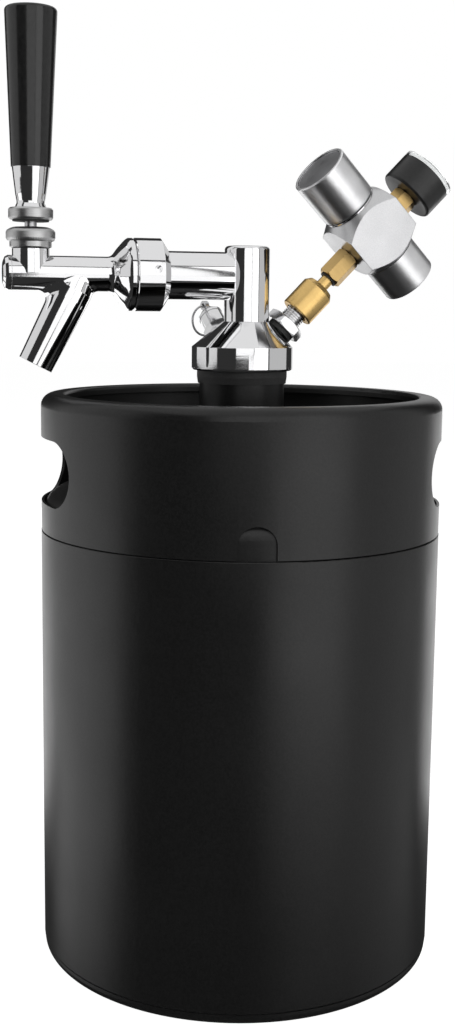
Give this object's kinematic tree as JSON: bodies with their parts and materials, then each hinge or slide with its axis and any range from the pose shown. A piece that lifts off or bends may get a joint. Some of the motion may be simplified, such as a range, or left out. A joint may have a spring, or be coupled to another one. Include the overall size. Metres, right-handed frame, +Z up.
{
  "type": "beer keg with tap",
  "caption": "Matte black mini keg with a handle ring, a screw-on chrome tap head, a lever faucet with a black grip, and a brass gas line to a small regulator with knob and gauge.",
  "frame": {"origin": "centre of the foot ring, on the floor the keg stands on", "axes": "+Z up through the neck; the faucet arm points along -X; the gas line leans up toward +X; the drain notch of the handle ring faces -Y"},
  "size_m": [0.2431, 0.2164, 0.5024],
  "materials": {
    "adjusting_screw": "turned",
    "bonnet_nut": "satin, knurled",
    "brass_hex": "satin brass",
    "cartridge_socket": "satin turned",
    "control_spring": "spring wire",
    "coupling_nut": "polished",
    "dip_tube": "drawn stainless tube",
    "faucet_body": "polished casting",
    "faucet_cap": "polished",
    "faucet_gasket": "black rubber",
    "faucet_lever": "turned",
    "foot_ring": "matte black powder coat",
    "gas_tailpiece": "satin turned brass",
    "gauge_case": "black, semi-gloss",
    "gauge_dial": null,
    "gauge_lens": "clear window",
    "gauge_needle": "black pointer",
    "gauge_stem": "satin brass",
    "handle_ferrule": "polished",
    "handle_grip": "black, slightly glossy",
    "head_body": "polished",
    "inlet_fitting": "plated steel, threaded",
    "inlet_washer": "black rubber",
    "keg_shell": "matte black powder coat, fine texture",
    "knob": "satin turned",
    "knob_disc": "brushed, dark",
    "lever_bushing": "black washer",
    "lever_collar": "satin, knurled",
    "neck": "matte black powder coat",
    "neck_gasket": "black moulded rubber",
    "piercing_pin": "ground",
    "regulator_body": "satin with bright bevels",
    "regulator_collar": "polished",
    "relief_body": "plated",
    "relief_cap": "plated",
    "relief_ring": "bent wire",
    "relief_spring": "spring wire",
    "relief_stem": "turned",
    "seat_washer": "black rubber",
    "shaft_nut": "turned",
    "shank_sleeve": "polished",
    "swivel_nut": "satin turned brass",
    "tailpiece_ring": "black rubber",
    "top_dome": "matte black powder coat",
    "top_shroud": "matte black powder coat, fine texture",
    "tower": "polished",
    "valve_shaft": "turned"
  },
  "bodies": {
    "keg": {"keg_shell": "keg_shell", "foot_ring": "foot_ring", "top_dome": "top_dome", "neck": "neck", "top_shroud": "top_shroud", "neck_gasket": "neck_gasket", "head_body": "head_body", "dip_tube": "dip_tube", "tower": "tower", "shank_sleeve": "shank_sleeve", "coupling_nut": "coupling_nut", "faucet_gasket": "faucet_gasket", "faucet_body": "faucet_body", "faucet_cap": "faucet_cap", "bonnet_nut": "bonnet_nut", "inlet_washer": "inlet_washer", "inlet_fitting": "inlet_fitting", "gas_tailpiece": "gas_tailpiece", "tailpiece_ring": "tailpiece_ring", "brass_hex": "brass_hex", "regulator_body": "regulator_body", "regulator_collar": "regulator_collar", "control_spring": "control_spring", "cartridge_socket": "cartridge_socket", "piercing_pin": "piercing_pin", "gauge_stem": "gauge_stem", "gauge_case": "gauge_case", "gauge_dial": "gauge_dial", "gauge_lens": "gauge_lens", "relief_body": "relief_body", "relief_cap": "relief_cap"},
    "tap_lever": {"faucet_lever": "faucet_lever", "lever_bushing": "lever_bushing", "lever_collar": "lever_collar", "handle_ferrule": "handle_ferrule", "handle_grip": "handle_grip"},
    "tap_plunger": {"valve_shaft": "valve_shaft", "seat_washer": "seat_washer", "shaft_nut": "shaft_nut"},
    "flare_swivel": {"swivel_nut": "swivel_nut"},
    "pressure_knob": {"knob": "knob", "knob_disc": "knob_disc", "adjusting_screw": "adjusting_screw"},
    "needle": {"gauge_needle": "gauge_needle"},
    "relief_valve": {"relief_stem": "relief_stem", "relief_spring": "relief_spring"},
    "pull_ring": {"relief_ring": "relief_ring"}
  },
  "joints": [
    {"name": "tap_lever_tilt", "type": "hinge", "parent": "keg", "child": "tap_lever", "pos_m": [-0.113, 0, 0.3841], "axis": [0, -1, 0], "range_deg": [0, 20]},
    {"name": "tap_plunger_slide", "type": "slide", "parent": "keg", "child": "tap_plunger", "axis": [1, 0, 0], "range_m": [0, 0.0042]},
    {"name": "flare_swivel_turn", "type": "hinge", "parent": "keg", "child": "flare_swivel", "pos_m": [0.03631, 0, 0.35812], "axis": [0.6921, 0, 0.7218], "continuous": true},
    {"name": "pressure_knob_turn", "type": "hinge", "parent": "keg", "child": "pressure_knob", "pos_m": [0.07161, 0, 0.39493], "axis": [-0.706, -0.2079, 0.677], "range_deg": [0, 720]},
    {"name": "gauge_needle_turn", "type": "hinge", "parent": "keg", "child": "needle", "pos_m": [0.0986, 0, 0.42308], "axis": [-0.6921, 0, -0.7218], "range_deg": [0, 270]},
    {"name": "relief_valve_pull", "type": "slide", "parent": "keg", "child": "relief_valve", "axis": [-0.2763, 0.6509, 0.7071], "range_m": [0, 0.002], "stiffness_N_per_m": 1500, "springref_m": -0.003},
    {"name": "pull_ring_swing", "type": "hinge", "parent": "relief_valve", "child": "pull_ring", "pos_m": [-0.01375, 0.0324, 0.355], "axis": [0.9205, 0.3907, 0], "range_deg": [-5, 95]}
  ],
  "couplings": [
    {"joint": "tap_plunger_slide", "follows": "tap_lever_tilt", "m_per_rad": 0.01176}
  ]
}
